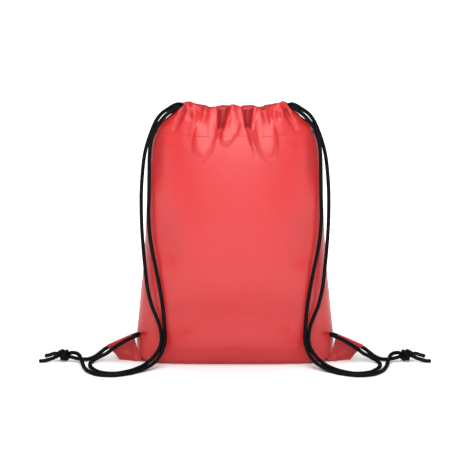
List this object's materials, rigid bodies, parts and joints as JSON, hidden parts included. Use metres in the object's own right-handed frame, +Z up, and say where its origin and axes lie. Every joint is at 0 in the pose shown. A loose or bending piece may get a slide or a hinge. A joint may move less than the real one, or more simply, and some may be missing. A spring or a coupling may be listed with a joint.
{
  "type": "drawstring backpack",
  "caption": "Soft drawstring backpack with a gathered mouth, cord casings, corner tabs and doubled braided shoulder cords tied in knots.",
  "frame": {"origin": "on the surface the bag stands on, below the middle of the bag and its corner tabs, cords left out", "axes": "+Z up to the mouth, +X to the right of the bag seen from its front, +Y from the front panel to the back panel"},
  "size_m": [0.5952, 0.1934, 0.401],
  "materials": {
    "red_polyester": "smooth woven polyester with a soft sheen",
    "red_thread": "matte spun sewing thread",
    "black_cord": "braided polyester cord, slightly shiny"
  },
  "bodies": {
    "bag": {"front_panel": "red_polyester", "front_casing": "red_polyester", "front_casing_stitches": "red_thread", "back_panel": "red_polyester", "back_casing": "red_polyester", "back_casing_stitches": "red_thread", "bottom_seam": "red_polyester", "left_side_seam": "red_polyester", "left_corner_tab": "red_polyester", "left_tab_stitches": "red_thread", "left_cord_casing_run": "black_cord", "left_back_shoulder_run": "black_cord", "left_front_floor_run": "black_cord", "left_back_floor_run": "black_cord", "left_knot": "black_cord", "left_front_tail": "black_cord", "left_back_tail": "black_cord", "right_side_seam": "red_polyester", "right_corner_tab": "red_polyester", "right_tab_stitches": "red_thread", "right_cord_casing_run": "black_cord", "right_back_shoulder_run": "black_cord", "right_front_floor_run": "black_cord", "right_back_floor_run": "black_cord", "right_knot": "black_cord", "right_front_tail": "black_cord", "right_back_tail": "black_cord"},
    "left_front_strand_body": {"left_front_strand": "black_cord"},
    "left_back_strand_body": {"left_back_strand": "black_cord"},
    "right_front_strand_body": {"right_front_strand": "black_cord"},
    "right_back_strand_body": {"right_back_strand": "black_cord"}
  },
  "joints": [
    {"name": "left_front_strand_swing", "type": "hinge", "parent": "bag", "child": "left_front_strand_body", "pos_m": [-0.089, -0.0226, 0.3876], "axis": [0.1336, 0.1933, 0.972], "range_deg": [0, 25]},
    {"name": "left_back_strand_swing", "type": "hinge", "parent": "bag", "child": "left_back_strand_body", "pos_m": [-0.1275, -0.004, 0.346], "axis": [0.0575, 0.2562, 0.9649], "range_deg": [0, 35]},
    {"name": "right_front_strand_swing", "type": "hinge", "parent": "bag", "child": "right_front_strand_body", "pos_m": [0.089, -0.0226, 0.3876], "axis": [0.1336, -0.1933, -0.972], "range_deg": [0, 25]},
    {"name": "right_back_strand_swing", "type": "hinge", "parent": "bag", "child": "right_back_strand_body", "pos_m": [0.1275, -0.004, 0.346], "axis": [0.0575, -0.2562, -0.9649], "range_deg": [0, 35]}
  ],
  "couplings": [
    {"joint": "left_back_strand_swing", "follows": "left_front_strand_swing", "ratio": 1.4},
    {"joint": "right_back_strand_swing", "follows": "right_front_strand_swing", "ratio": 1.4}
  ]
}
